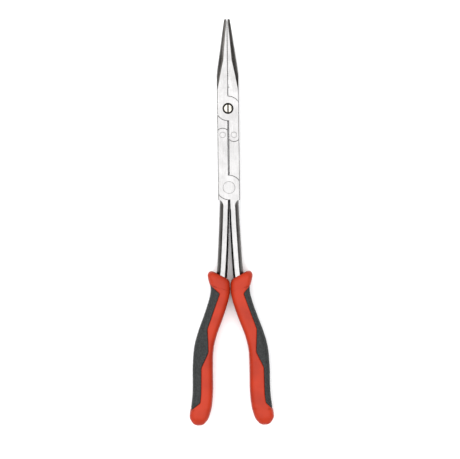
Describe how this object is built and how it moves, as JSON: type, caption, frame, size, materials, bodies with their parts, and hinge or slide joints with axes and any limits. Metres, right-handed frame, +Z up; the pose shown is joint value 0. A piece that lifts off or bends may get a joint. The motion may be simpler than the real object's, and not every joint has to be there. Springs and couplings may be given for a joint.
{
  "type": "needle nose pliers",
  "caption": "Long-reach needle nose pliers with a double-pivot linkage, tapered serrated jaws and two-material curved grips.",
  "frame": {"origin": "middle of the tool's plan outline, on the surface that it lies on", "axes": "+Y along the tool towards the jaw tips, +X across it to the right-hand grip seen from the front face, +Z up out of the front face"},
  "size_m": [0.0684, 0.33, 0.02],
  "materials": {
    "steel": "ground flat faces, forged and polished rounded sides",
    "pin_steel": "ground flush with the faces",
    "grip_red": "satin moulded red rubber",
    "grip_black": "fine-textured matt black soft rubber"
  },
  "bodies": {
    "right_handle": {"lever_right": "steel", "grip_right": "grip_red", "grip_inlay_right": "grip_black", "lower_pivot_rivet": "pin_steel", "link_pin_left": "pin_steel"},
    "left_handle": {"lever_left": "steel", "grip_left": "grip_red", "grip_inlay_left": "grip_black", "link_pin_right": "pin_steel"},
    "right_jaw": {"jaw_right": "steel"},
    "left_jaw": {"jaw_left": "steel", "upper_pivot_screw": "pin_steel"}
  },
  "joints": [
    {"name": "handles_open", "type": "hinge", "parent": "right_handle", "child": "left_handle", "pos_m": [0, 0.028, 0.01], "axis": [0, 0, -1], "range_deg": [0, 20]},
    {"name": "right_jaw_link", "type": "hinge", "parent": "right_handle", "child": "right_jaw", "pos_m": [-0.0046, 0.0706, 0.01], "axis": [0, 0, -1], "range_deg": [0, 30.7]},
    {"name": "left_jaw_link", "type": "hinge", "parent": "left_handle", "child": "left_jaw", "pos_m": [0.0046, 0.0706, 0.01], "axis": [0, 0, 1], "range_deg": [0, 30.7]}
  ],
  "couplings": [
    {"joint": "right_jaw_link", "follows": "handles_open", "ratio": 1.53},
    {"joint": "left_jaw_link", "follows": "handles_open", "ratio": 1.53}
  ]
}
